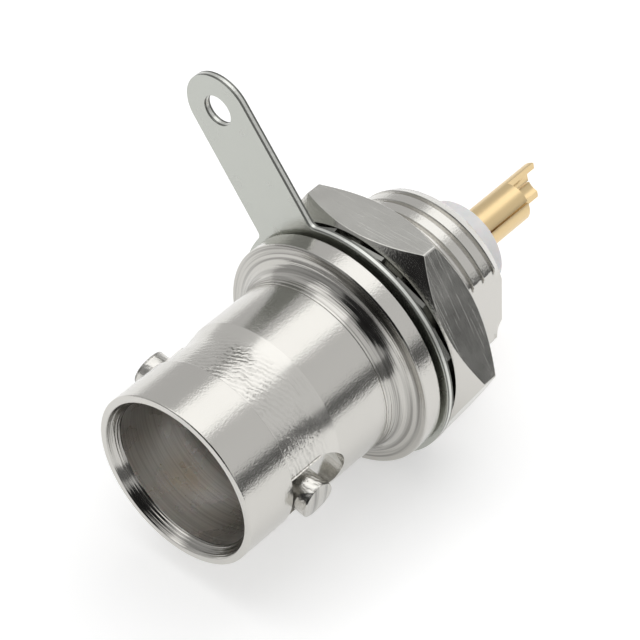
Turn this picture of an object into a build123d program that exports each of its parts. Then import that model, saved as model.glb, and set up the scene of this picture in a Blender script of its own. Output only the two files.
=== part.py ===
from build123d import *
from math import cos, radians, sin, sqrt, tan
import os

# Panel-mounted bayonet coaxial jack. Millimetres, axis along Y with the mouth towards -Y.
# The origin is on the axis, in the flange's rear face, which is the face that meets a panel.
# Angles round the axis are counted from +X towards +Z.

# Outside of the shell, along the axis
flange_thickness = 1.25
neck_length = 4.70
band_length = 3.30
nose_length = 3.03
thread_length = 7.13

# Outside of the shell, across the axis
nose_diameter = 9.60
nose_wall = 0.725
band_depth = 0.16
neck_diameter = 9.70
flange_overhang = 1.425
thread_diameter = 9.45
rim_round = 0.10
neck_fillet = 1.15
flange_front_chamfer = 0.08
flange_rear_chamfer = 0.17
thread_end_chamfer = 0.40
key_flat_depth = 0.625
key_flat_angle = 2.9

# Bayonet lugs, each a round stud that stands in a milled pocket
lug_diameter = 1.96
lug_height = 0.70
lug_gap = 0.07
lug_angle = -9.0
lug_root_depth = 0.15
pocket_depth = 0.19
pocket_width = 2.90
pocket_length = 3.65

# Inside of the shell
mouth_depth = 8.40
lead_in_depth = 0.65
rim_width = 0.38
shoulder_thickness = 1.30
chamber_diameter = 6.60
lip_thickness = 0.30

# Insulators
seat_clearance = 0.02
boss_diameter = 4.80
boss_setback = 5.20
boss_edge = 0.15
front_block_length = 3.40
rear_boss_diameter = 5.00
rear_boss_length = 2.02

# Centre contact
socket_diameter = 2.10
socket_bore_diameter = 1.40
socket_bore_depth = 4.60
socket_setback = 0.12
socket_slit_width = 0.20
socket_slit_length = 3.40
socket_clearance = 0.10
collar_diameter = 3.20
collar_length = 0.80
cup_diameter = 2.20
cup_bore_diameter = 1.48
cup_bore_depth = 5.70
cup_length = 6.05
cup_slit_width = 0.14
cup_slit_angle = 32.3
cup_end_chamfer = 0.08
scoop_length = 2.10
scoop_offset = 0.21
scoop_angle = 11.2

# Solder tag
tag_thickness = 0.40
tag_ring_width = 1.75
tag_clearance = 0.075
tag_arm_angle = 128.2
tag_arm_reach = 13.10
tag_arm_base_width = 4.20
tag_tip_radius = 2.00
tag_eye_diameter = 1.96
tag_root_fillet = 0.40

# Lock washer with twisted outer teeth
washer_thickness = 0.30
washer_clearance = 0.10
washer_ring_width = 0.70
tooth_length = 0.625
tooth_count = 13
tooth_tip_width = 1.90
tooth_root_width = 1.40
tooth_twist = 8.3
tooth_seat_gap = 0.01

# Hexagon nut
nut_across_flats = 12.70
nut_thickness = 2.55
nut_clearance = 0.05
nut_corner_angle = 3.1
nut_face_diameter = 12.44
nut_chamfer_angle = 38.0
nut_bore_chamfer = 0.25

# Sizes across the axis that follow from the ones above
mouth_diameter = nose_diameter - 2 * nose_wall
band_diameter = nose_diameter - 2 * band_depth
flange_diameter = neck_diameter + 2 * flange_overhang
lug_span = nose_diameter + 2 * lug_height
pocket_floor_height = band_diameter / 2 - pocket_depth
key_flat_height = thread_diameter / 2 - key_flat_depth
tag_hole_radius = thread_diameter / 2 + tag_clearance
tag_ring_radius = tag_hole_radius + tag_ring_width
washer_bore_radius = thread_diameter / 2 + washer_clearance

# Planes that several pieces share
flange_front = -flange_thickness
band_rear = flange_front - neck_length
band_front = band_rear - band_length
rim = band_front - nose_length
shoulder = rim + mouth_depth
chamber_front = shoulder + shoulder_thickness
lip_front = thread_length - lip_thickness
boss_tip = rim + boss_setback
insulator_joint = chamber_front + front_block_length
collar_front = insulator_joint - collar_length
rear_boss_end = thread_length + rear_boss_length
cup_end = rear_boss_end + cup_length
tooth_rise = tooth_tip_width / 2 * sin(radians(tooth_twist))
washer_height = 2 * tooth_rise + washer_thickness * cos(radians(tooth_twist)) + 2 * tooth_seat_gap
nut_front = tag_thickness + washer_height
nut_rear = nut_front + nut_thickness


def turned(points, corner_rounds=()):
    """A solid turned about the Y axis from (radius, y) points, with (radius, y, round) corners."""
    face = make_face(Polyline(*points, close=True))
    for radius, y, size in corner_rounds:
        corner = face.vertices().sort_by_distance(Vector(radius, y))[0]
        face = fillet(corner, size)
    return revolve(face, Axis.Y)


def rod(diameter, start, end):
    """A plain round rod on the Y axis."""
    return turned([(0, start), (diameter / 2, start), (diameter / 2, end), (0, end)])


def block(x, y, z):
    """A box between two bounds on each axis."""
    bounds = (x, y, z)
    centre = [(low + high) / 2 for low, high in bounds]
    return Pos(*centre) * Box(*[high - low for low, high in bounds])


def stud(diameter, start, end, y):
    """A round bar along +X, from one distance off the Y axis to another."""
    return Pos((start + end) / 2, y, 0) * Rot(0, 90, 0) * Cylinder(diameter / 2, end - start)


def rolled(part, angle):
    """The part turned about the Y axis, from +X towards +Z."""
    return Rot(0, -angle, 0) * part


def shell_blank():
    """The turned shell: nose, milled band, neck, flange and tail, bored from both ends."""
    nose = nose_diameter / 2
    band = band_diameter / 2
    neck = neck_diameter / 2
    flange = flange_diameter / 2
    thread = thread_diameter / 2
    mouth = mouth_diameter / 2
    chamber = chamber_diameter / 2
    boss_hole = boss_diameter / 2 + seat_clearance
    lip = rear_boss_diameter / 2 + seat_clearance
    outline = [
        (nose - rim_width, rim),
        (nose, rim),
        (nose, band_front),
        (band, band_front),
        (band, band_rear),
        (neck, band_rear),
        (neck, flange_front),
        (flange - flange_front_chamfer, flange_front),
        (flange, flange_front + flange_front_chamfer),
        (flange, -flange_rear_chamfer),
        (flange - flange_rear_chamfer, 0),
        (thread, 0),
        (thread, thread_length - thread_end_chamfer),
        (thread - thread_end_chamfer, thread_length),
        (lip, thread_length),
        (lip, lip_front),
        (chamber, lip_front),
        (chamber, chamber_front),
        (boss_hole, chamber_front),
        (boss_hole, shoulder),
        (mouth, shoulder),
        (mouth, rim + lead_in_depth),
    ]
    return turned(outline, [(nose, rim, rim_round), (neck, flange_front, neck_fillet)])


def lug_pocket():
    """The end mill's path round one lug: flat floored, with a round run-out into the neck."""
    half = pocket_width / 2
    top = lug_span / 2
    run_out = band_front + pocket_length - half
    straight = block((pocket_floor_height, top), (band_front, run_out), (-half, half))
    return straight + stud(pocket_width, pocket_floor_height, top, run_out)


def lug():
    """One round lug, its tip part of the ring that the shell was turned with."""
    root = pocket_floor_height - lug_root_depth
    centre = band_front + lug_gap + lug_diameter / 2
    return stud(lug_diameter, root, lug_span, centre) & rod(lug_span, rim, flange_front)


def shell():
    """The shell with its lugs, and the flat that stops it turning in a D-shaped hole."""
    body = shell_blank()
    for side in (0, 180):
        body -= rolled(lug_pocket(), lug_angle + side)
        body += rolled(lug(), lug_angle + side)
    reach = thread_diameter
    flat = block((key_flat_height, reach), (0, thread_length), (-reach, reach))
    return body - rolled(flat, key_flat_angle)


def front_insulator():
    """The front bush: a block in the chamber, and the boss that stands up inside the mouth."""
    block_radius = chamber_diameter / 2 - seat_clearance
    collar = collar_diameter / 2 + seat_clearance
    bore = socket_diameter / 2 + socket_clearance
    boss = boss_diameter / 2
    return turned(
        [
            (bore, boss_tip),
            (boss - boss_edge, boss_tip),
            (boss, boss_tip + boss_edge),
            (boss, chamber_front),
            (block_radius, chamber_front),
            (block_radius, insulator_joint),
            (collar, insulator_joint),
            (collar, collar_front),
            (bore, collar_front),
        ]
    )


def rear_insulator():
    """The rear bush, held by the shell's rolled lip, with the boss that stands out behind it."""
    block_radius = chamber_diameter / 2 - seat_clearance
    boss = rear_boss_diameter / 2
    bore = cup_diameter / 2 + seat_clearance
    return turned(
        [
            (bore, insulator_joint),
            (block_radius, insulator_joint),
            (block_radius, lip_front),
            (boss, lip_front),
            (boss, rear_boss_end),
            (bore, rear_boss_end),
        ]
    )


def contact_blank():
    """The turned contact: slotted socket in front, trapped collar, solder cup behind."""
    socket = socket_diameter / 2
    socket_bore = socket_bore_diameter / 2
    collar = collar_diameter / 2
    cup = cup_diameter / 2
    cup_bore = cup_bore_diameter / 2
    tip = boss_tip + socket_setback
    wall = socket - socket_bore
    return turned(
        [
            (0, tip + socket_bore_depth),
            (socket_bore, tip + socket_bore_depth),
            (socket_bore, tip + wall / 2),
            (socket_bore + wall / 2, tip),
            (socket, tip),
            (socket, collar_front),
            (collar, collar_front),
            (collar, insulator_joint),
            (cup, insulator_joint),
            (cup, cup_end - cup_end_chamfer),
            (cup - cup_end_chamfer, cup_end),
            (cup_bore, cup_end),
            (cup_bore, cup_end - cup_bore_depth),
            (0, cup_end - cup_bore_depth),
        ]
    )


def center_contact():
    """The contact with its cross-slit socket, and the scoop and sawn slit of its solder cup."""
    tip = boss_tip + socket_setback
    half_slit = socket_slit_width / 2
    socket_slit = block((-collar_diameter, collar_diameter), (tip, tip + socket_slit_length), (-half_slit, half_slit))
    half_cut = cup_slit_width / 2
    cup_slit = block((-cup_diameter, cup_diameter), (rear_boss_end, cup_end), (-half_cut, half_cut))
    scoop = block((-scoop_offset, cup_diameter), (cup_end - scoop_length, cup_end), (-cup_diameter, cup_diameter))
    body = contact_blank()
    for angle in (0, 90):
        body -= rolled(socket_slit, angle)
    return body - rolled(cup_slit, cup_slit_angle) - rolled(scoop, scoop_angle)


def solder_tag():
    """The flat tag: a ring round the thread and a tapered arm with an eye for the wire."""
    root = tag_arm_base_width / 2
    end = tag_tip_radius
    arm = make_face(Polyline((0, -root), (tag_arm_reach, -end), (tag_arm_reach, end), (0, root), close=True))
    outline = Circle(tag_ring_radius) + arm + Pos(tag_arm_reach, 0) * Circle(tag_tip_radius)
    corner_place = sqrt(tag_ring_radius**2 - root**2)
    for side in (root, -root):
        corner = outline.vertices().sort_by_distance(Vector(corner_place, side))[0]
        outline = fillet(corner, tag_root_fillet)
    outline -= Circle(tag_hole_radius)
    outline -= Pos(tag_arm_reach, 0) * Circle(tag_eye_diameter / 2)
    sheet = extrude(outline, tag_thickness)
    return rolled(Rot(-90, 0, 0) * sheet, tag_arm_angle)


def washer_tooth():
    """One tooth of the lock washer, twisted about the line that runs out through its middle."""
    root_radius = washer_bore_radius + washer_ring_width / 2
    tip_radius = washer_bore_radius + washer_ring_width + tooth_length
    flat = make_face(
        Polyline(
            (root_radius, -tooth_root_width / 2),
            (tip_radius, -tooth_tip_width / 2),
            (tip_radius, tooth_tip_width / 2),
            (root_radius, tooth_root_width / 2),
            close=True,
        )
    )
    blank = Pos(0, 0, -washer_thickness / 2) * extrude(flat, washer_thickness)
    return Rot(tooth_twist, 0, 0) * blank


def lock_washer():
    """A flat ring with twisted teeth all round, between the tag and the nut."""
    ring = Circle(washer_bore_radius + washer_ring_width) - Circle(washer_bore_radius)
    washer = Pos(0, 0, -washer_thickness / 2) * extrude(ring, washer_thickness)
    for tooth in PolarLocations(0, tooth_count):
        washer += tooth * washer_tooth()
    return Pos(0, tag_thickness + washer_height / 2, 0) * Rot(-90, 0, 0) * washer


def hex_nut():
    """The hexagon nut, its corners turned off at both faces."""
    corner = nut_across_flats / sqrt(3)
    face = nut_face_diameter / 2
    drop = (corner - face) * tan(radians(nut_chamfer_angle))
    bore = thread_diameter / 2 + nut_clearance
    turned_blank = turned(
        [
            (bore + nut_bore_chamfer, nut_front),
            (face, nut_front),
            (corner, nut_front + drop),
            (corner, nut_rear - drop),
            (face, nut_rear),
            (bore + nut_bore_chamfer, nut_rear),
            (bore, nut_rear - nut_bore_chamfer),
            (bore, nut_front + nut_bore_chamfer),
        ]
    )
    hexagon = extrude(RegularPolygon(corner, 6), nut_thickness)
    prism = Pos(0, nut_front, 0) * Rot(-90, 0, 0) * hexagon
    return turned_blank & rolled(prism, nut_corner_angle)


os.makedirs("parts", exist_ok=True)
pieces = {
    "shell": shell(),
    "front_insulator": front_insulator(),
    "rear_insulator": rear_insulator(),
    "center_contact": center_contact(),
    "solder_tag": solder_tag(),
    "lock_washer": lock_washer(),
    "hex_nut": hex_nut(),
}
for name, piece in pieces.items():
    export_step(piece, f"parts/{name}.step")
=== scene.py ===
import bmesh
import bpy
import numpy as np
from math import atan2, ceil, cos, pi, radians, sin, sqrt, tan
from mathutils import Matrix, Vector


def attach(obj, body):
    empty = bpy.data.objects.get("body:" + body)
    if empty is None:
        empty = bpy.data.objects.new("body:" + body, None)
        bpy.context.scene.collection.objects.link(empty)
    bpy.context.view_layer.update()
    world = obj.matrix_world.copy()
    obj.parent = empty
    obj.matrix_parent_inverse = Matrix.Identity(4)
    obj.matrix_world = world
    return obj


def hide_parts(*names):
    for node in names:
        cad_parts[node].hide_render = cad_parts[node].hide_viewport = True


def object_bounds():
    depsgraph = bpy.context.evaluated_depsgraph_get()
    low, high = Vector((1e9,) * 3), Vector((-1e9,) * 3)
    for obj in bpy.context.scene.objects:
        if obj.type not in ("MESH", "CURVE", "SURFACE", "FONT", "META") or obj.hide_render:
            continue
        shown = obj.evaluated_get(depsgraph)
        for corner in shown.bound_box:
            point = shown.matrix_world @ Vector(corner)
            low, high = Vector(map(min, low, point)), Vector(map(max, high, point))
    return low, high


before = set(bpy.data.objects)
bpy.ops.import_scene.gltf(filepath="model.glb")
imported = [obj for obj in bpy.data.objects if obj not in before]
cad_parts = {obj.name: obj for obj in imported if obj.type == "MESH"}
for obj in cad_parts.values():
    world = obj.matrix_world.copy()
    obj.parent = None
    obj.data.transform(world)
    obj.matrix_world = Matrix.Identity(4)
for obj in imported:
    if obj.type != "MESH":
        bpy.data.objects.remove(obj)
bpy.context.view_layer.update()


# Shell
# The jack's body, one piece turned from brass bar, milled round the two bayonet lugs, threaded and
# cut to a flat on the tail, then plated with bright nickel. It shows fine turning marks on its faces
# and short cutter marks on the band between the lugs.
MM = 0.001
THREAD_PITCH = 0.79375
THREAD_RADIUS = 4.725
THREAD_DEPTH = 0.17
THREAD_START = 0.60
THREAD_STEPS = [-0.30, -0.26, 0.26, 0.30, 0.335, 0.37, 0.424, 0.459]
TAIL_LENGTH = 7.13
TAIL_CHAMFER = 0.40
KEY_FLAT = 4.10
KEY_FLAT_ANGLE = radians(2.9)
SHELL_COLUMNS = 360
SHELL_PROFILE = [
    (2.52, 7.13, 0.04),
    (2.52, 6.83, 0),
    (3.30, 6.83, 0),
    (3.30, -2.58, 0),
    (2.42, -2.58, 0),
    (2.42, -3.88, 0.06),
    (4.075, -3.88, 0.05),
    (4.075, -11.63, 0.10),
    (4.42, -12.28, 0.05),
    (4.80, -12.28, 0.10),
    (4.80, -9.25, 0.03),
    (4.64, -9.25, 0.02),
    (4.64, -7.05, 2.50),
    (4.84, -5.98, 0.02),
    (4.85, -2.58, 0),
    (4.85, -2.52, 0),
    (4.84, -2.50, 0),
    (4.85, -2.46, 0),
    (4.85, -1.25, 1.15),
    (6.195, -1.25, 0.02),
    (6.275, -1.17, 0.03),
    (6.275, -0.25, 0.03),
    (5.70, -0.03, 0),
    (5.70, 0, 0),
]


def rounded(corners):
    """The closed line through (a, b, round) corners, each round drawn as an arc between two guard points."""
    guard = 0.04
    line = []
    for place, (a, b, size) in enumerate(corners):
        corner = Vector((a, b))
        if not size:
            line.append(corner)
            continue
        before = Vector(corners[place - 1][:2]) - corner
        after = Vector(corners[(place + 1) % len(corners)][:2]) - corner
        half = before.angle(after) / 2
        reach = size / tan(half)
        before.normalize()
        after.normalize()
        middle = corner + (before + after).normalized() * size / sin(half)
        start = corner + before * reach - middle
        turn = -start.angle_signed(corner + after * reach - middle)
        steps = max(3, ceil(abs(turn) / radians(12)))
        line.append(corner + before * (reach + guard))
        for step in range(steps + 1):
            angle = turn * step / steps
            u = start.x * cos(angle) - start.y * sin(angle)
            v = start.x * sin(angle) + start.y * cos(angle)
            line.append(middle + Vector((u, v)))
        line.append(corner + after * (reach + guard))
    return line


def ring(radius, y, angles):
    """A ring of points about the Y axis, its radius and place along the axis given for each angle."""
    return np.stack([radius * np.cos(angles), y + 0 * angles, radius * np.sin(angles)], axis=-1)


def thread_radius(y, angles):
    """Radius of the thread's skin: a right-handed screw of broad, flat crests and narrow grooves."""
    climb = (y - THREAD_START + THREAD_PITCH * angles / (2 * pi)) % THREAD_PITCH
    off_crest = np.minimum(climb, THREAD_PITCH - climb)
    # The crest's edge is broken from 0.26 to 0.30 mm off its middle, and the groove's floor starts at 0.37.
    return THREAD_RADIUS - np.interp(off_crest, [0.26, 0.30, 0.37], [0, 0.03, THREAD_DEPTH])


def tail_radius(y, angles):
    """The thread with its chamfered end and the flat down one side."""
    radius = np.minimum(thread_radius(y, angles), THREAD_RADIUS - (y - TAIL_LENGTH + TAIL_CHAMFER))
    facing = np.maximum(np.cos(angles - KEY_FLAT_ANGLE), 0.1)
    return np.minimum(radius, KEY_FLAT / facing)


def screw_rings(radius_at, low, high, angles):
    """Rings that follow the thread from one plane to another, one for each step of each pitch."""
    turns = np.arange(-1, ceil((high - low) / THREAD_PITCH) + 3)
    base = THREAD_START + low - low % THREAD_PITCH - THREAD_PITCH
    rows = []
    for place in (base + THREAD_PITCH * turns[:, None] + np.array(THREAD_STEPS)).ravel():
        y = np.clip(place - THREAD_PITCH * angles / (2 * pi), low, high)
        rows.append(ring(radius_at(y, angles), y, angles))
    return rows


def new_piece(name, mesh):
    """An object for a mesh, at the origin."""
    piece = bpy.data.objects.new(name, mesh)
    bpy.context.scene.collection.objects.link(piece)
    return piece


def skin(name, rings, screw_rows=0):
    """A closed skin over rings of points. Screw rows come second, and meet a pitch lower after a turn."""
    points = np.array(rings)
    index = np.arange(points.shape[0] * points.shape[1]).reshape(points.shape[:2])
    right = np.roll(index, -1, axis=1)
    for row in range(1, screw_rows + 1):
        right[row, -1] = index[max(row - len(THREAD_STEPS), 0), 0]
    quads = np.stack([index, np.roll(index, -1, axis=0), np.roll(right, -1, axis=0), right], axis=-1)
    mesh = bpy.data.meshes.new(name)
    mesh.from_pydata((points.reshape(-1, 3) * MM).tolist(), [], quads.reshape(-1, 4).tolist())
    work = bmesh.new()
    work.from_mesh(mesh)
    bmesh.ops.remove_doubles(work, verts=work.verts, dist=1e-8)
    bmesh.ops.recalc_face_normals(work, faces=work.faces)
    work.to_mesh(mesh)
    work.free()
    return new_piece(name, mesh)


def prism(name, outline, low, high, place):
    """A closed prism over an outline of (v, y) points, between two heights, each point set by place()."""
    work = bmesh.new()
    floor = [work.verts.new(place(low, v, y)) for v, y in outline]
    roof = [work.verts.new(place(high, v, y)) for v, y in outline]
    work.faces.new(floor)
    work.faces.new(roof)
    for a in range(len(outline)):
        b = (a + 1) % len(outline)
        work.faces.new((floor[a], floor[b], roof[b], roof[a]))
    bmesh.ops.recalc_face_normals(work, faces=work.faces)
    mesh = bpy.data.meshes.new(name)
    work.to_mesh(mesh)
    work.free()
    return new_piece(name, mesh)


def made_real(piece):
    """Turns what a piece's modifiers make into its own plain mesh."""
    graph = bpy.context.evaluated_depsgraph_get()
    mesh = bpy.data.meshes.new_from_object(piece.evaluated_get(graph), depsgraph=graph)
    piece.modifiers.clear()
    piece.data = mesh


def carve(piece, cutter):
    """Cuts one closed mesh out of another."""
    cut = piece.modifiers.new("cut", "BOOLEAN")
    cut.operation = "DIFFERENCE"
    cut.solver = "EXACT"
    cut.object = cutter
    made_real(piece)
    bpy.data.objects.remove(cutter)


def shaded(piece, angle=30):
    """Smooth shading, with creases where faces meet at more than the angle."""
    piece.data.shade_smooth()
    piece.data.set_sharp_from_angle(angle=radians(angle))


def outward(turn):
    """Puts (height, v, y) points, in mm, on the side of the shell that faces this angle from +X to +Z."""
    along = Vector((cos(turn), 0, sin(turn)))
    across = Vector((-sin(turn), 0, cos(turn)))
    return lambda height, v, y: (along * height + across * v + Vector((0, y, 0))) * MM


LUG_TURNS = (radians(-9), radians(171))
LUG_REACH = 5.50
LUG_PLACE = -8.20
LUG_SIDES = 96
LUG_PROFILE = [
    (0.98, 1.32),
    (0.98, 0.12),
    (0.98, 0.05),
    (0.965, 0.015),
    (0.93, 0),
    (0.88, 0),
    (0.6, 0),
    (0.3, 0),
]
POCKET_FRONT = -9.25
POCKET_REAR = -7.05
POCKET_HALF_WIDTH = 1.45
POCKET_FLOOR = 4.28
BURR_FOOT = 4.32
BURR_TOP = 4.47


def arc(middle, radius, start, end, steps):
    """Points of an arc in a plane."""
    angles = [start + (end - start) * step / steps for step in range(steps + 1)]
    return [(middle[0] + radius * cos(a), middle[1] + radius * sin(a)) for a in angles]


def lug_pocket(turn):
    """The end mill's slot round one lug, square at the nose and half round at the neck."""
    front = POCKET_FRONT - 0.01
    roof = LUG_REACH + 0.7
    outline = [(-POCKET_HALF_WIDTH, front), (POCKET_HALF_WIDTH, front)]
    outline += arc((0, POCKET_REAR), POCKET_HALF_WIDTH, 0, pi, 48)
    return prism("pocket", outline, POCKET_FLOOR, roof, outward(turn))


def lug_burr(turn, side):
    """The fine raised edge that the end mill left along one side of a pocket, 0.06 mm high and wide."""
    inner = (POCKET_HALF_WIDTH - 0.02) * side
    outer = (POCKET_HALF_WIDTH + 0.04) * side
    outline = [(inner, POCKET_FRONT), (outer, POCKET_FRONT), (outer, POCKET_REAR), (inner, POCKET_REAR)]
    return prism("burr", outline, BURR_FOOT, BURR_TOP, outward(turn))


def lug_stud(turn):
    """One round lug from (radius, depth under the tip) rings, its tip part of the turned ring round it."""
    place = outward(turn)
    around = [2 * pi * step / LUG_SIDES for step in range(LUG_SIDES)]
    work = bmesh.new()
    rows = []
    for radius, drop in LUG_PROFILE:
        row = []
        for angle in around:
            v = radius * cos(angle)
            height = sqrt(LUG_REACH**2 - v**2) - drop
            row.append(work.verts.new(place(height, v, LUG_PLACE + radius * sin(angle))))
        rows.append(row)
    for low, high in zip(rows, rows[1:]):
        for a in range(LUG_SIDES):
            work.faces.new((low[a], low[a - 1], high[a - 1], high[a]))
    work.faces.new(rows[0])
    tip = work.verts.new(place(LUG_REACH, 0, LUG_PLACE))
    for a in range(LUG_SIDES):
        work.faces.new((rows[-1][a], rows[-1][a - 1], tip))
    bmesh.ops.recalc_face_normals(work, faces=work.faces)
    mesh = bpy.data.meshes.new("lug")
    work.to_mesh(mesh)
    work.free()
    return new_piece("lug", mesh)


def joined(name, parts):
    """One piece from several meshes, which keep their shapes."""
    work = bmesh.new()
    for part in parts:
        work.from_mesh(part.data)
    mesh = bpy.data.meshes.new(name)
    work.to_mesh(mesh)
    work.free()
    for part in parts:
        bpy.data.objects.remove(part)
    return new_piece(name, mesh)


def turned_skin(name, profile, columns):
    """A closed skin turned from (radius, y, round) corners."""
    angles = np.linspace(0, 2 * pi, columns, endpoint=False)
    return skin(name, [ring(point.x, point.y, angles) for point in rounded(profile)])


shell_angles = np.linspace(0, 2 * pi, SHELL_COLUMNS, endpoint=False)
tail = screw_rings(tail_radius, 0, TAIL_LENGTH, shell_angles)
tail_start = ring(tail_radius(0, shell_angles), 0, shell_angles)
tail_end = ring(tail_radius(TAIL_LENGTH, shell_angles), TAIL_LENGTH, shell_angles)
body_rings = [ring(point.x, point.y, shell_angles) for point in rounded(SHELL_PROFILE)]
shell = skin("shell_blank", [tail_start, *tail, tail_end, *body_rings], screw_rows=len(tail))
for lug_turn in LUG_TURNS:
    carve(shell, lug_pocket(lug_turn))
shell_parts = [shell]
for lug_turn in LUG_TURNS:
    shell_parts += [lug_stud(lug_turn), lug_burr(lug_turn, -1), lug_burr(lug_turn, 1)]
shell = joined("shell_body", shell_parts)
shaded(shell)


def node(tree, kind, settings=None, inputs=None):
    """Adds one node. Settings are its own fields, inputs are values or the sockets that feed it."""
    made = tree.nodes.new(kind)
    for field, value in (settings or {}).items():
        setattr(made, field, value)
    for name, value in (inputs or {}).items():
        if isinstance(value, bpy.types.NodeSocket):
            tree.links.new(value, made.inputs[name])
        else:
            made.inputs[name].default_value = value
    return made


def colour(code):
    """An sRGB hex colour as linear values."""
    parts = [int(code[place:place + 2], 16) / 255 for place in (1, 3, 5)]
    return [part / 12.92 if part <= 0.04045 else ((part + 0.055) / 1.055) ** 2.4 for part in parts] + [1]


def new_material(name):
    """An empty material with its output, ready for a shader."""
    material = bpy.data.materials.new(name)
    material.use_nodes = True
    material.node_tree.nodes.clear()
    return material, material.node_tree


def finish(tree, shader):
    """Feeds a shader to the material's surface."""
    output = node(tree, "ShaderNodeOutputMaterial")
    tree.links.new(shader, output.inputs["Surface"])


def place_in_mm(tree):
    """The place on the piece, in mm from the origin."""
    place = node(tree, "ShaderNodeTexCoord").outputs["Object"]
    return node(tree, "ShaderNodeVectorMath", {"operation": "SCALE"}, {0: place, "Scale": 1000}).outputs[0]


def lathe_noise(tree, spacing, length):
    """Noise drawn out round the Y axis, as a tool leaves it on turned work. Spacing and length are in mm,
    the length as it is on the nose, 4.8 mm from the axis."""
    stretch = 4.8 / length
    in_mm = place_in_mm(tree)
    out = node(tree, "ShaderNodeVectorMath", {"operation": "MULTIPLY"}, {0: in_mm, 1: (1, 0, 1)})
    radius = node(tree, "ShaderNodeVectorMath", {"operation": "LENGTH"}, {0: out.outputs[0]})
    rows = node(tree, "ShaderNodeMath", {"operation": "DIVIDE"}, {0: radius.outputs["Value"], 1: spacing})
    across = node(tree, "ShaderNodeCombineXYZ", None, {"Y": rows.outputs[0]})
    round_turn = node(tree, "ShaderNodeVectorMath", {"operation": "NORMALIZE"}, {0: out.outputs[0]})
    spot = node(tree, "ShaderNodeVectorMath", {"operation": "MULTIPLY_ADD"}, {
        0: round_turn.outputs[0],
        1: (stretch, 0, stretch),
        2: across.outputs[0],
    })
    split = node(tree, "ShaderNodeSeparateXYZ", None, {0: in_mm})
    along = node(tree, "ShaderNodeMath", {"operation": "DIVIDE"}, {0: split.outputs["Y"], 1: spacing})
    noise = node(tree, "ShaderNodeTexNoise", {"noise_dimensions": "4D"}, {
        "Vector": spot.outputs[0],
        "W": along.outputs[0],
        "Scale": 1,
        "Detail": 2,
        "Roughness": 0.6,
    })
    return noise.outputs["Fac"]


def clouds(tree, scale, low, high):
    """An uneven change between two values over the piece. The scale is in cells to the millimetre."""
    cells = node(tree, "ShaderNodeTexNoise", None, {
        "Vector": place_in_mm(tree),
        "Scale": scale,
        "Detail": 3,
        "Roughness": 0.6,
    })
    span = node(tree, "ShaderNodeMapRange", None, {
        "Value": cells.outputs["Fac"],
        "From Min": 0.3,
        "From Max": 0.7,
        "To Min": low,
        "To Max": high,
    })
    return span.outputs[0]


# Bright nickel plate over turned brass. The plate levels the turning marks, so the surface is nearly a
# mirror with faint rings at the tool's feed, 0.09 mm apart, drawn a little coarser than they are.
nickel, tree = new_material("bright_nickel_on_turned_brass")
rings = lathe_noise(tree, 0.10, 5)
relief = node(tree, "ShaderNodeBump", None, {"Height": rings, "Strength": 1, "Distance": 0.0000035})
grit = node(tree, "ShaderNodeBump", None, {
    "Height": clouds(tree, 9, 0, 1),
    "Normal": relief.outputs[0],
    "Strength": 1,
    "Distance": 0.000004,
})
shader = node(tree, "ShaderNodeBsdfPrincipled", None, {
    "Base Color": colour("#c9c7c2"),
    "Metallic": 1,
    "Roughness": clouds(tree, 0.9, 0.10, 0.18),
    "Normal": grit.outputs[0],
})
finish(tree, shader.outputs[0])
# The same plate over the band between the lugs, where a chattering cutter left short wavy ridges a
# quarter of a millimetre apart. They catch the light as ripples, strongest along the top and bottom and
# beside the first lug, and fade out towards the neck. The base colour is also darker along the same
# ripples: painted shade and painted dark reflection on the ridges.
chatter, tree = new_material("bright_nickel_on_milled_band")
in_mm = place_in_mm(tree)
slant = node(tree, "ShaderNodeMapping", None, {"Vector": in_mm, "Rotation": (0, 0, -0.42)})
wave = node(tree, "ShaderNodeTexWave", {"bands_direction": "Y"}, {
    "Vector": slant.outputs[0],
    "Scale": 0.314 / 0.25,
    "Distortion": 5.5,
    "Detail": 2,
    "Detail Scale": 2.4,
})
split = node(tree, "ShaderNodeSeparateXYZ", None, {0: in_mm})
fade = node(tree, "ShaderNodeMapRange", None, {
    "Value": split.outputs["Y"],
    "From Min": -6.5,
    "From Max": -7.3,
})
side_step = node(tree, "ShaderNodeMath", {"operation": "SUBTRACT"}, {0: split.outputs["X"], 1: 0.4})
off_top = node(tree, "ShaderNodeMath", {"operation": "ABSOLUTE"}, {0: side_step.outputs[0]})
top_patch = node(tree, "ShaderNodeMapRange", None, {
    "Value": off_top.outputs[0],
    "From Min": 1.1,
    "From Max": 2.4,
    "To Min": 1,
    "To Max": 0.25,
})
lug_patch = node(tree, "ShaderNodeMapRange", None, {
    "Value": split.outputs["X"],
    "From Min": 3.5,
    "From Max": 4.0,
    "To Max": 0.8,
})
patches = node(tree, "ShaderNodeMath", {"operation": "MAXIMUM"}, {
    0: top_patch.outputs[0],
    1: lug_patch.outputs[0],
})
faded = node(tree, "ShaderNodeMath", {"operation": "MULTIPLY"}, {0: fade.outputs[0], 1: patches.outputs[0]})
dashes = node(tree, "ShaderNodeMath", {"operation": "MULTIPLY"}, {
    0: clouds(tree, 0.45, 0.3, 1),
    1: clouds(tree, 1.6, 0.1, 1),
})
height = node(tree, "ShaderNodeMath", {"operation": "MULTIPLY"}, {0: faded.outputs[0], 1: dashes.outputs[0]})
ripples = node(tree, "ShaderNodeMath", {"operation": "MULTIPLY"}, {
    0: wave.outputs["Fac"],
    1: height.outputs[0],
})
relief = node(tree, "ShaderNodeBump", None, {
    "Height": ripples.outputs[0],
    "Strength": 1,
    "Distance": 0.000026,
})
lines = node(tree, "ShaderNodeBump", None, {
    "Height": lathe_noise(tree, 0.09, 2.5),
    "Normal": relief.outputs[0],
    "Strength": 1,
    "Distance": 0.000012,
})
# Painted shade: the base colour darkens where the ripples stand high.
tone = node(tree, "ShaderNodeMix", {"data_type": "RGBA"}, {
    "Factor": ripples.outputs[0],
    6: colour("#cfcdc8"),
    7: colour("#9b9994"),
})
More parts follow.
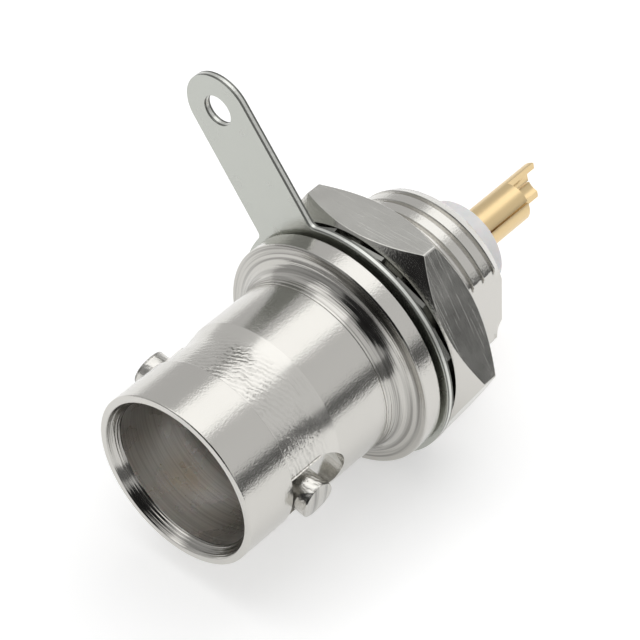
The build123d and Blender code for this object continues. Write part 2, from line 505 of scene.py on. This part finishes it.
shader = node(tree, "ShaderNodeBsdfPrincipled", None, {
    "Base Color": tone.outputs[2],
    "Metallic": 1,
    "Roughness": clouds(tree, 0.9, 0.15, 0.27),
    "Normal": lines.outputs[0],
})
finish(tree, shader.outputs[0])
# The same plate over faced brass: the fillet, the flange's front, the lead-in of the mouth and the lugs'
# tips keep rings 0.16 mm apart from a pointed tool, which turn a reflection into dark and bright stripes.
# The base colour is darker than the plain plate, and darkest in the ring dips, where it is painted shade.
faced, tree = new_material("bright_nickel_on_faced_brass")
grooves = lathe_noise(tree, 0.16, 9)
relief = node(tree, "ShaderNodeBump", None, {"Height": grooves, "Strength": 1, "Distance": 0.000045})
painted_groove_shade = node(tree, "ShaderNodeMapRange", None, {"Value": grooves, "From Min": 0.38, "From Max": 0.54})
# Painted shade: a darker base colour in the dips of the rings.
tone = node(tree, "ShaderNodeMix", {"data_type": "RGBA"}, {
    "Factor": painted_groove_shade.outputs[0],
    6: colour("#94928e"),
    7: colour("#c0beb9"),
})
shader = node(tree, "ShaderNodeBsdfPrincipled", None, {
    "Base Color": tone.outputs[2],
    "Metallic": 1,
    "Roughness": clouds(tree, 0.9, 0.10, 0.20),
    "Normal": relief.outputs[0],
})
finish(tree, shader.outputs[0])
# Inside the mouth the plate is thin and follows the bored surface: softer than outside, with rings round
# the bore 0.09 mm apart, and darker where it reflects the depth of the mouth. Its base colour is painted
# paler than the outside plate, as painted light for the dim inside of the mouth, and a little darker in
# the ring dips as painted shade.
bored, tree = new_material("thin_nickel_on_bored_brass")
grooves = lathe_noise(tree, 0.09, 7)
relief = node(tree, "ShaderNodeBump", None, {"Height": grooves, "Strength": 1, "Distance": 0.00001})
painted_groove_shade = node(tree, "ShaderNodeMapRange", None, {"Value": grooves, "From Min": 0.36, "From Max": 0.58})
# Painted light and shade: a pale base that lights the dim bore, darker in the ring dips.
tone = node(tree, "ShaderNodeMix", {"data_type": "RGBA"}, {
    "Factor": painted_groove_shade.outputs[0],
    6: colour("#dddad5"),
    7: colour("#f0ede8"),
})
shader = node(tree, "ShaderNodeBsdfPrincipled", None, {
    "Base Color": tone.outputs[2],
    "Metallic": 0.95,
    "Roughness": clouds(tree, 0.7, 0.24, 0.33),
    "Normal": relief.outputs[0],
})
finish(tree, shader.outputs[0])
# Round the lugs the plate lies over clean end-milled metal, smoother and brighter than turned metal.
milled, tree = new_material("bright_nickel_on_end_milled_brass")
relief = node(tree, "ShaderNodeBump", None, {
    "Height": clouds(tree, 6, 0, 1),
    "Strength": 1,
    "Distance": 0.0000008,
})
shader = node(tree, "ShaderNodeBsdfPrincipled", None, {
    "Base Color": colour("#d5d4d0"),
    "Metallic": 1,
    "Roughness": clouds(tree, 0.9, 0.10, 0.18),
    "Normal": relief.outputs[0],
})
finish(tree, shader.outputs[0])
shell_finishes = (nickel, chatter, faced, bored, milled)
for shell_finish in shell_finishes:
    shell.data.materials.append(shell_finish)
# Each face takes the finish of the cut that made it, known by its place along and off the axis in mm.
for face in shell.data.polygons:
    x, y, z = face.center / MM
    radius = sqrt(x * x + z * z)
    bore = -11.6 < y < 0 and radius < 4.2
    lead_in = y < -11.5 and radius < 4.46
    flange_front = -2.33 < y < -1.2 and radius > 4.84
    lug_tip = y < -6 and radius > 5.40
    band = -9.24 < y < -5.98 and 4.62 < radius < 4.85
    pocket = -9.26 < y < -5.6 and 4.2 < radius < 4.62
    lug_side = -9.26 < y < -5.6 and 4.87 < radius < 5.40
    made_by = nickel
    if bore:
        made_by = bored
    elif lead_in or flange_front or lug_tip:
        made_by = faced
    elif band:
        made_by = chatter
    elif pocket or lug_side:
        made_by = milled
    face.material_index = shell_finishes.index(made_by)
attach(shell, "jack")
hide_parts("shell")


# Insulators
# Two bushes of white fluoropolymer turned from rod. The front one stands up inside the mouth round
# the socket, the rear one shows as a pale boss where the solder cup leaves the tail.
FRONT_BUSH = [
    (1.15, -7.08, 0.04),
    (2.40, -7.08, 0.15),
    (2.40, -2.58, 0),
    (3.28, -2.58, 0),
    (3.28, 0.82, 0),
    (1.62, 0.82, 0),
    (1.62, 0.02, 0),
    (1.15, 0.02, 0),
]
REAR_BUSH = [
    (1.12, 0.82, 0),
    (3.28, 0.82, 0),
    (3.28, 6.83, 0),
    (2.50, 6.83, 0),
    (2.50, 9.15, 0.07),
    (1.12, 9.15, 0.03),
]
# White fluoropolymer, waxy and a little see-through: light goes in and comes out softly, so the bushes
# have no hard glints, only faint turning rings.
polymer, tree = new_material("turned_white_fluoropolymer")
tone = node(tree, "ShaderNodeMix", {"data_type": "RGBA"}, {
    "Factor": clouds(tree, 0.7, 0, 1),
    6: colour("#dadadb"),
    7: colour("#e7e7e6"),
})
rings = lathe_noise(tree, 0.08, 6)
relief = node(tree, "ShaderNodeBump", None, {"Height": rings, "Strength": 1, "Distance": 0.000003})
shader = node(tree, "ShaderNodeBsdfPrincipled", None, {
    "Base Color": tone.outputs[2],
    "Roughness": 0.45,
    "IOR": 1.36,
    "Subsurface Weight": 0.15,
    "Subsurface Scale": 0.0006,
    "Normal": relief.outputs[0],
})
finish(tree, shader.outputs[0])
for bush_name, bush_profile, bush_node in (
    ("front_bush", FRONT_BUSH, "front_insulator"),
    ("rear_bush", REAR_BUSH, "rear_insulator"),
):
    bush = turned_skin(bush_name, bush_profile, 160)
    shaded(bush)
    bush.data.materials.append(polymer)
    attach(bush, "jack")
    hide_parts(bush_node)


# Centre contact
# One turned brass piece, gold plated. Its front end is bored and cross slit to spring on the plug's
# pin, a collar holds it between the bushes, and its rear end is a solder cup, slit and then scooped.
CONTACT_PROFILE = [
    (0, -2.36, 0),
    (0.70, -2.36, 0.05),
    (0.70, -6.785, 0.05),
    (0.875, -6.96, 0.05),
    (1.05, -6.96, 0.05),
    (1.05, 0.02, 0),
    (1.60, 0.02, 0.05),
    (1.60, 0.82, 0.05),
    (1.10, 0.82, 0),
    (1.10, 15.20, 0.06),
    (0.74, 15.20, 0.03),
    (0.74, 9.50, 0.05),
    (0, 9.50, 0),
]
SOCKET_SLIT_END = -3.56
CUP_SLIT_END = 9.15
CUP_SLIT_TURN = radians(32.3)
SCOOP_END = 13.10
SCOOP_FLOOR = -0.21
SCOOP_TURN = radians(11.2)


def boxed(name, a, b, c, turn):
    """A box between bounds outward, across and along the axis, turned about the axis."""
    outline = [(b[0], c[0]), (b[1], c[0]), (b[1], c[1]), (b[0], c[1])]
    return prism(name, outline, a[0], a[1], outward(turn))


contact = turned_skin("contact", CONTACT_PROFILE, 128)
for slit_turn in (0, pi / 2):
    carve(contact, boxed("slit", (-2, 2), (-0.10, 0.10), (-7.5, SOCKET_SLIT_END), slit_turn))
carve(contact, boxed("cup_slit", (-2, 2), (-0.05, 0.05), (CUP_SLIT_END, 16), CUP_SLIT_TURN))
carve(contact, boxed("scoop", (SCOOP_FLOOR, 2), (-2, 2), (SCOOP_END, 16), SCOOP_TURN))
shaded(contact)
# Gold plate over turned brass: warm and softly bright, with faint lathe rings under the plate.
gold, tree = new_material("gold_plate_on_turned_brass")
rings = lathe_noise(tree, 0.09, 5)
relief = node(tree, "ShaderNodeBump", None, {"Height": rings, "Strength": 1, "Distance": 0.0000015})
shader = node(tree, "ShaderNodeBsdfPrincipled", None, {
    "Base Color": colour("#dfc698"),
    "Metallic": 1,
    "Roughness": clouds(tree, 0.6, 0.30, 0.36),
    "Normal": relief.outputs[0],
})
finish(tree, shader.outputs[0])
contact.data.materials.append(gold)
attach(contact, "jack")
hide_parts("center_contact")


# Solder tag
# Stamped from 0.4 mm brass sheet and plated with satin nickel: a ring round the thread and a tapered
# arm with an eye for the earth wire. Stamping leaves its edges slightly rounded.
TAG_THICKNESS = 0.40
TAG_EDGE = 0.03
TAG_RING = 6.55
TAG_HOLE = 4.80
TAG_REACH = 13.10
TAG_ARM_ROOT = 2.10
TAG_TIP = 2.00
TAG_EYE = 0.84
TAG_FILLET = 0.40
TAG_TURN = radians(128.2)


def tag_outline():
    """The tag's outer edge, its arm along the first direction."""
    fillet_v = TAG_ARM_ROOT + TAG_FILLET - 0.05
    fillet_u = sqrt((TAG_RING + TAG_FILLET) ** 2 - fillet_v**2)
    lean = atan2(fillet_v, fillet_u)
    ring_edge = arc((0, 0), TAG_RING, lean, 2 * pi - lean, 120)
    low = arc((fillet_u, -fillet_v), TAG_FILLET, pi - lean, pi / 2, 10)
    tip = arc((TAG_REACH, 0), TAG_TIP, -pi / 2, pi / 2, 40)
    high = arc((fillet_u, fillet_v), TAG_FILLET, -pi / 2, lean - pi, 10)
    return ring_edge[:-1] + low + tip + high[:-1]


def closed_spline(curve, points):
    """Adds a closed line of points to a flat curve."""
    line = curve.splines.new("POLY")
    line.points.add(len(points) - 1)
    for spot, (u, v) in zip(line.points, points):
        spot.co = (u * MM, v * MM, 0, 1)
    line.use_cyclic_u = True


sheet = bpy.data.curves.new("tag_sheet", "CURVE")
sheet.dimensions = "2D"
sheet.fill_mode = "BOTH"
sheet.extrude = (TAG_THICKNESS / 2 - TAG_EDGE) * MM
sheet.bevel_depth = TAG_EDGE * MM
sheet.offset = -TAG_EDGE * MM
sheet.bevel_resolution = 2
closed_spline(sheet, tag_outline())
closed_spline(sheet, arc((0, 0), TAG_HOLE, 0, 2 * pi, 160)[:-1])
closed_spline(sheet, arc((TAG_REACH, 0), TAG_EYE, 0, 2 * pi, 64)[:-1])
flat_tag = new_piece("flat_tag", sheet)
graph = bpy.context.evaluated_depsgraph_get()
tag_mesh = bpy.data.meshes.new_from_object(flat_tag.evaluated_get(graph), depsgraph=graph)
bpy.data.objects.remove(flat_tag)
for vertex in tag_mesh.vertices:
    u, v, height = vertex.co
    x = u * cos(TAG_TURN) - v * sin(TAG_TURN)
    z = u * sin(TAG_TURN) + v * cos(TAG_TURN)
    vertex.co = (x, TAG_THICKNESS / 2 * MM - height, z)
work = bmesh.new()
work.from_mesh(tag_mesh)
bmesh.ops.remove_doubles(work, verts=work.verts, dist=1e-8)
bmesh.ops.recalc_face_normals(work, faces=work.faces)
work.to_mesh(tag_mesh)
work.free()
tag = new_piece("tag", tag_mesh)
shaded(tag, 12)
# Satin nickel plate over rolled brass sheet: even and pale, with a grain of 0.1 mm from the roll.
satin, tree = new_material("satin_nickel_on_brass_sheet")
grain = node(tree, "ShaderNodeTexNoise", None, {
    "Vector": place_in_mm(tree),
    "Scale": 9,
    "Detail": 3,
    "Roughness": 0.6,
})
relief = node(tree, "ShaderNodeBump", None, {
    "Height": grain.outputs["Fac"],
    "Strength": 1,
    "Distance": 0.000006,
})
shader = node(tree, "ShaderNodeBsdfPrincipled", None, {
    "Base Color": colour("#b9bbb5"),
    "Metallic": 1,
    "Roughness": clouds(tree, 0.5, 0.2, 0.3),
    "Normal": relief.outputs[0],
})
finish(tree, shader.outputs[0])
# Its stamped edge, 0.4 mm wide: the punch leaves a bright band in the middle and torn, darker margins.
edge_cut, tree = new_material("satin_nickel_on_stamped_edge")
in_mm = place_in_mm(tree)
split = node(tree, "ShaderNodeSeparateXYZ", None, {0: in_mm})
middle_band = node(tree, "ShaderNodeMath", {"operation": "COMPARE"}, {
    0: split.outputs["Y"],
    1: TAG_THICKNESS / 2,
    2: 0.08,
})
tone = node(tree, "ShaderNodeMix", {"data_type": "RGBA"}, {
    "Factor": middle_band.outputs[0],
    6: colour("#6f706c"),
    7: colour("#d2d3ce"),
})
torn = node(tree, "ShaderNodeTexNoise", None, {"Vector": in_mm, "Scale": 7, "Detail": 2})
relief = node(tree, "ShaderNodeBump", None, {
    "Height": torn.outputs["Fac"],
    "Strength": 1,
    "Distance": 0.00002,
})
shader = node(tree, "ShaderNodeBsdfPrincipled", None, {
    "Base Color": tone.outputs[2],
    "Metallic": 1,
    "Roughness": 0.35,
    "Normal": relief.outputs[0],
})
finish(tree, shader.outputs[0])
tag.data.materials.clear()
tag.data.materials.append(satin)
tag.data.materials.append(edge_cut)
for face in tag.data.polygons:
    face.material_index = int(abs(face.normal.y) < 0.6)
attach(tag, "tag")
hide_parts("solder_tag")


# Lock washer
# Stamped from spring steel and plated: a thin ring with thirteen outer teeth, each twisted so that
# its corners bite into the tag and the nut.
WASHER_MIDDLE = 0.6956
WASHER_THICKNESS = 0.30
WASHER_BORE = 4.825
WASHER_RING = 5.525
TOOTH_ROOT = 5.175
TOOTH_ROOT_HALF = 0.70
TOOTH_TIP = 6.15
TOOTH_TIP_HALF = 0.95
TOOTH_BEVEL = 0.03
TOOTH_TWIST = radians(8.3)
TEETH = 13

# Thin plate over hardened spring steel, with a fine tumbled grain. Its base colour is much darker than
# the brass pieces: partly the steel's greyer plate, partly painted shade for the gap between the tag and
# the nut, where the teeth sit.
spring_steel_with_painted_gap_shade, tree = new_material("plated_spring_steel_with_painted_gap_shade")
grain = node(tree, "ShaderNodeTexNoise", None, {"Vector": place_in_mm(tree), "Scale": 14, "Detail": 2})
relief = node(tree, "ShaderNodeBump", None, {
    "Height": grain.outputs["Fac"],
    "Strength": 1,
    "Distance": 0.000002,
})
# Painted shade: the dark base colour keeps the teeth dim in the gap behind the tag.
shader = node(tree, "ShaderNodeBsdfPrincipled", None, {
    "Base Color": colour("#82827e"),
    "Metallic": 1,
    "Roughness": 0.24,
    "Normal": relief.outputs[0],
})
finish(tree, shader.outputs[0])


def tooth_blank():
    """One twisted tooth at the angle zero, its edges broken by a narrow bevel."""
    outline = [
        (TOOTH_ROOT, -TOOTH_ROOT_HALF),
        (TOOTH_TIP, -TOOTH_TIP_HALF),
        (TOOTH_TIP, TOOTH_TIP_HALF),
        (TOOTH_ROOT, TOOTH_ROOT_HALF),
    ]
    work = bmesh.new()
    corners = []
    for side in (-1, 1):
        thick = side * WASHER_THICKNESS / 2
        for out, width in outline:
            y = WASHER_MIDDLE + width * sin(TOOTH_TWIST) + thick * cos(TOOTH_TWIST)
            z = thick * sin(TOOTH_TWIST) - width * cos(TOOTH_TWIST)
            corners.append(work.verts.new((out * MM, y * MM, z * MM)))
    work.faces.new(corners[:4])
    work.faces.new(corners[4:])
    for a in range(4):
        b = (a + 1) % 4
        work.faces.new((corners[a], corners[b], corners[4 + b], corners[4 + a]))
    bmesh.ops.recalc_face_normals(work, faces=work.faces)
    bevel = TOOTH_BEVEL * MM
    bmesh.ops.bevel(work, geom=work.edges, offset=bevel, segments=2, affect="EDGES", profile=0.5)
    mesh = bpy.data.meshes.new("tooth")
    work.to_mesh(mesh)
    work.free()
    return new_piece("tooth", mesh)


def tooth_circle(piece, count, material):
    """Repeats a piece round the Y axis with Geometry Nodes."""
    group = bpy.data.node_groups.new("tooth_circle", "GeometryNodeTree")
    face = group.interface
    face.new_socket("Geometry", in_out="INPUT", socket_type="NodeSocketGeometry")
    teeth = face.new_socket("Teeth", in_out="INPUT", socket_type="NodeSocketInt")
    step = face.new_socket("Step", in_out="INPUT", socket_type="NodeSocketFloat")
    face.new_socket("Geometry", in_out="OUTPUT", socket_type="NodeSocketGeometry")
    given = node(group, "NodeGroupInput")
    spots = node(group, "GeometryNodePoints", None, {"Count": given.outputs["Teeth"]})
    index = node(group, "GeometryNodeInputIndex")
    turn = node(group, "ShaderNodeMath", {"operation": "MULTIPLY"}, {
        0: index.outputs[0],
        1: given.outputs["Step"],
    })
    turns = node(group, "ShaderNodeCombineXYZ", None, {"Y": turn.outputs[0]})
    copies = node(group, "GeometryNodeInstanceOnPoints", None, {
        "Points": spots.outputs[0],
        "Instance": given.outputs["Geometry"],
        "Rotation": turns.outputs[0],
    })
    real = node(group, "GeometryNodeRealizeInstances", None, {0: copies.outputs[0]})
    dressed = node(group, "GeometryNodeSetMaterial", None, {0: real.outputs[0], "Material": material})
    node(group, "NodeGroupOutput", None, {0: dressed.outputs[0]})
    repeat = piece.modifiers.new("teeth", "NODES")
    repeat.node_group = group
    repeat[teeth.identifier] = count
    repeat[step.identifier] = -2 * pi / count
    made_real(piece)


washer_low = WASHER_MIDDLE - WASHER_THICKNESS / 2
washer_high = WASHER_MIDDLE + WASHER_THICKNESS / 2
washer_ring = turned_skin("washer_ring", [
    (WASHER_BORE, washer_low, 0.04),
    (WASHER_RING, washer_low, 0.04),
    (WASHER_RING, washer_high, 0.04),
    (WASHER_BORE, washer_high, 0.04),
], 180)
tooth = tooth_blank()
tooth_circle(tooth, TEETH, spring_steel_with_painted_gap_shade)
washer = joined("washer", [washer_ring, tooth])
shaded(washer, 20)
washer.data.materials.append(spring_steel_with_painted_gap_shade)
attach(washer, "washer")
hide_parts("lock_washer")


# Hexagon nut
# Half an inch across flats, cut from hexagon brass bar, threaded, its corners turned off at both
# faces and the whole plated with nickel. Its flats are ground, so they carry fine lines round the nut.
NUT_FRONT = 0.9912
NUT_REAR = 3.5412
NUT_CORNER = 12.70 / sqrt(3)
NUT_CORNER_ROUND = 0.12
NUT_CLEARANCE = 0.05
NUT_FACE = 6.22
NUT_EDGE = 0.03
NUT_SLOPE = tan(radians(38))
NUT_BORE_EDGE = 5.025
NUT_TURN = radians(3.1)


def split_long(line, longest):
    """The closed line with its long stretches cut into even steps."""
    points = []
    for place, start in enumerate(line):
        end = line[(place + 1) % len(line)]
        steps = max(1, ceil((end - start).length / longest))
        points += [start.lerp(end, step / steps) for step in range(steps)]
    return points


def nut_thread(y, angles):
    """The nut's own thread, clear of the shell's all round and opened out at both faces."""
    radius = thread_radius(y, angles) + NUT_CLEARANCE
    return np.maximum(radius, NUT_BORE_EDGE - np.minimum(y - NUT_FRONT, NUT_REAR - y))


hexagon = []
for side in range(6):
    corner_angle = NUT_TURN + side * pi / 3
    hexagon.append((NUT_CORNER * cos(corner_angle), NUT_CORNER * sin(corner_angle), NUT_CORNER_ROUND))
longest_step = 0.28
edge = np.array([tuple(point) for point in split_long(rounded(hexagon), longest_step)])
nut_angles = np.unwrap(np.arctan2(edge[:, 1], edge[:, 0]))
nut_reach = np.hypot(edge[:, 0], edge[:, 1])
bore = screw_rings(nut_thread, NUT_FRONT, NUT_REAR, nut_angles)
# Half its outside as (reach, depth under the face): the face, the turned cone, the cone's edge, the flat.
cone = nut_reach - NUT_EDGE - NUT_FACE
half_nut = [(NUT_FACE - 0.10, 0.0), (NUT_FACE, 0.0)]
half_nut += [(NUT_FACE + cone * share, cone * share * NUT_SLOPE) for share in (0.3, 0.7, 1)]
drop = (nut_reach - NUT_FACE) * NUT_SLOPE
half_nut += [(nut_reach - 0.006, drop + 0.003), (nut_reach, drop + NUT_EDGE), (nut_reach, drop + 0.08)]
outside = [ring(reach, NUT_REAR - down, nut_angles) for reach, down in half_nut]
outside += [ring(reach, NUT_FRONT + down, nut_angles) for reach, down in reversed(half_nut)]
bore_front = ring(NUT_BORE_EDGE, NUT_FRONT, nut_angles)
bore_rear = ring(NUT_BORE_EDGE, NUT_REAR, nut_angles)
nut = skin("nut", [bore_front, *bore, bore_rear, *outside], screw_rows=len(bore))
shaded(nut, 32)
# Bright nickel over ground flats: the plate follows fine lines that run across each flat, drawn 0.12 mm
# apart where the real ones are closer, and a few slanting scratches from tumbling. The turned cones at
# both faces match the shell.
ground, tree = new_material("bright_nickel_on_ground_flats")
in_mm = place_in_mm(tree)
drawn_out = node(tree, "ShaderNodeVectorMath", {"operation": "MULTIPLY"}, {0: in_mm, 1: (0.5, 8, 0.5)})
lines = node(tree, "ShaderNodeTexNoise", None, {
    "Vector": drawn_out.outputs[0],
    "Scale": 1,
    "Detail": 3,
    "Roughness": 0.7,
})
slant = node(tree, "ShaderNodeMapping", None, {
    "Vector": in_mm,
    "Rotation": (0.6, 0.5, 0.7),
    "Scale": (0.3, 11, 0.3),
})
streaks = node(tree, "ShaderNodeTexNoise", None, {"Vector": slant.outputs[0], "Scale": 1, "Detail": 0})
scratches = node(tree, "ShaderNodeMapRange", None, {
    "Value": streaks.outputs["Fac"],
    "From Min": 0.66,
    "From Max": 0.70,
})
relief = node(tree, "ShaderNodeBump", None, {
    "Height": lines.outputs["Fac"],
    "Strength": 1,
    "Distance": 0.000013,
})
marked = node(tree, "ShaderNodeBump", None, {
    "Height": scratches.outputs[0],
    "Normal": relief.outputs[0],
    "Strength": 1,
    "Distance": 0.000004,
})
shader = node(tree, "ShaderNodeBsdfPrincipled", None, {
    "Base Color": colour("#c5c4bf"),
    "Metallic": 1,
    "Roughness": clouds(tree, 0.8, 0.16, 0.26),
    "Normal": marked.outputs[0],
})
finish(tree, shader.outputs[0])
nut.data.materials.append(ground)
nut.data.materials.append(nickel)
for face in nut.data.polygons:
    face.material_index = int(abs(face.normal.y) > 0.3)
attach(nut, "nut")
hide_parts("hex_nut")


# Floor
# A pale studio table under the jack. It keeps the jack's soft shadow and glows just enough to read
# as white paper.
def flat_sheet(name, corners):
    """A single flat face."""
    mesh = bpy.data.meshes.new(name)
    mesh.from_pydata(corners, [], [tuple(range(len(corners)))])
    return new_piece(name, mesh)


table_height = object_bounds()[0].z - 0.02 * MM
half = 0.55
table = flat_sheet("table", [
    (-half, -half, table_height),
    (half, -half, table_height),
    (half, half, table_height),
    (-half, half, table_height),
])
paper, tree = new_material("white_table_paper")
matte = node(tree, "ShaderNodeBsdfDiffuse", None, {"Color": colour("#e7e7e7")})
glow = node(tree, "ShaderNodeEmission", None, {"Color": (1, 1, 1, 1), "Strength": 0.40})
both = node(tree, "ShaderNodeAddShader", None, {0: matte.outputs[0], 1: glow.outputs[0]})
finish(tree, both.outputs[0])
table.data.materials.append(paper)


# Light
# A pale cloth tent round the table, a long softbox over the jack, a grey card low on one side, which
# draws the dark line along the barrel, a dark screen round the camera, which only reflections see, and
# a fill light in front.
def glowing(name, strength):
    """A plain material that gives off even white light."""
    material, tree = new_material(name)
    lamp = node(tree, "ShaderNodeEmission", None, {"Color": (1, 1, 1, 1), "Strength": strength})
    finish(tree, lamp.outputs[0])
    return material


tent_mesh = bpy.data.meshes.new("tent")
work = bmesh.new()
bmesh.ops.create_uvsphere(work, u_segments=48, v_segments=24, radius=0.8)
work.to_mesh(tent_mesh)
work.free()
tent = new_piece("tent", tent_mesh)
# The cloth is a little brighter to the right of the table than to the left, and dimmer in front.
cloth, tree = new_material("tent_cloth")
place = node(tree, "ShaderNodeTexCoord").outputs["Object"]
split = node(tree, "ShaderNodeSeparateXYZ", None, {0: place})
side = node(tree, "ShaderNodeMapRange", None, {
    "Value": split.outputs["X"],
    "From Min": -0.4,
    "From Max": 0.5,
    "To Min": 0.66,
    "To Max": 0.78,
})
front = node(tree, "ShaderNodeMapRange", None, {
    "Value": split.outputs["Y"],
    "From Min": -0.6,
    "From Max": -0.1,
    "To Min": 0.55,
    "To Max": 1,
})
level = node(tree, "ShaderNodeMath", {"operation": "MULTIPLY"}, {0: side.outputs[0], 1: front.outputs[0]})
lamp = node(tree, "ShaderNodeEmission", None, {"Color": (1, 1, 1, 1), "Strength": level.outputs[0]})
finish(tree, lamp.outputs[0])
tent.data.materials.append(cloth)
softbox = flat_sheet("softbox", [
    (-0.165, -0.10, 0.30),
    (0.085, -0.10, 0.30),
    (0.085, 0.50, 0.30),
    (-0.165, 0.50, 0.30),
])
softbox.data.materials.append(glowing("softbox_cloth", 1.55))
card = flat_sheet("card", [
    (0.10, -0.12, table_height),
    (0.10, 0.30, table_height),
    (0.10, 0.30, 0.031),
    (0.10, -0.12, 0.031),
])
card.data.materials.append(glowing("grey_card", 0.15))


def toward(azimuth, elevation):
    """A point 0.4 m from the jack, by its angle from the front to the right and its height, in degrees."""
    distance = 0.4
    a = radians(azimuth)
    e = radians(elevation)
    return (distance * sin(a) * cos(e), -distance * cos(a) * cos(e), distance * sin(e))


screen_corners = ((-12, 20), (2, 5), (32, 3), (60, 26), (82, 42), (86, 60), (48, 60), (8, 66), (-12, 46))
screen = flat_sheet("screen", [toward(*corner) for corner in screen_corners])
screen.data.materials.append(glowing("dark_screen", 0.02))
screen.visible_diffuse = False
fill_corners = ((-88, 47), (-34, 47), (-34, 68), (-88, 68))
fill = flat_sheet("front_fill", [toward(*corner) for corner in fill_corners])
fill.data.materials.append(glowing("fill_cloth", 1.6))
for stand in (tent, softbox, card, screen, fill):
    stand.visible_camera = False
    stand.visible_shadow = False
# The camera sees past the tent to plain white.
world = bpy.data.worlds.new("studio")
world.use_nodes = True
world.node_tree.nodes.clear()
tree = world.node_tree
sky = node(tree, "ShaderNodeBackground", None, {"Color": (1, 1, 1, 1), "Strength": 1})
output = node(tree, "ShaderNodeOutputWorld")
tree.links.new(sky.outputs[0], output.inputs["Surface"])
bpy.context.scene.world = world


# Camera
# It looks down on the jack from in front and to the right, as the photograph does, from as far away as
# the photograph's perspective tells, and past the flange's centre by the same 1.1 mm to the left and up.
CAMERA_DISTANCE = 178
azimuth = radians(41.0)
elevation = radians(45.16)
back = Vector((sin(azimuth) * cos(elevation), -cos(azimuth) * cos(elevation), sin(elevation)))
right = Vector((cos(azimuth), sin(azimuth), 0))
up = back.cross(right)
aim = Vector((0, -0.15, 0)) - right * 1.105 + up * 1.101
lens = bpy.data.cameras.new("camera")
lens.sensor_width = 36
lens.lens = 205.13
lens.clip_start = 0.01
lens.clip_end = 10
camera = bpy.data.objects.new("camera", lens)
camera.location = (aim + back * CAMERA_DISTANCE) * MM
camera.rotation_mode = "QUATERNION"
camera.rotation_quaternion = (-back).to_track_quat("-Z", "Y")
bpy.context.scene.collection.objects.link(camera)
bpy.context.scene.camera = camera
bpy.context.scene.view_settings.view_transform = "Standard"
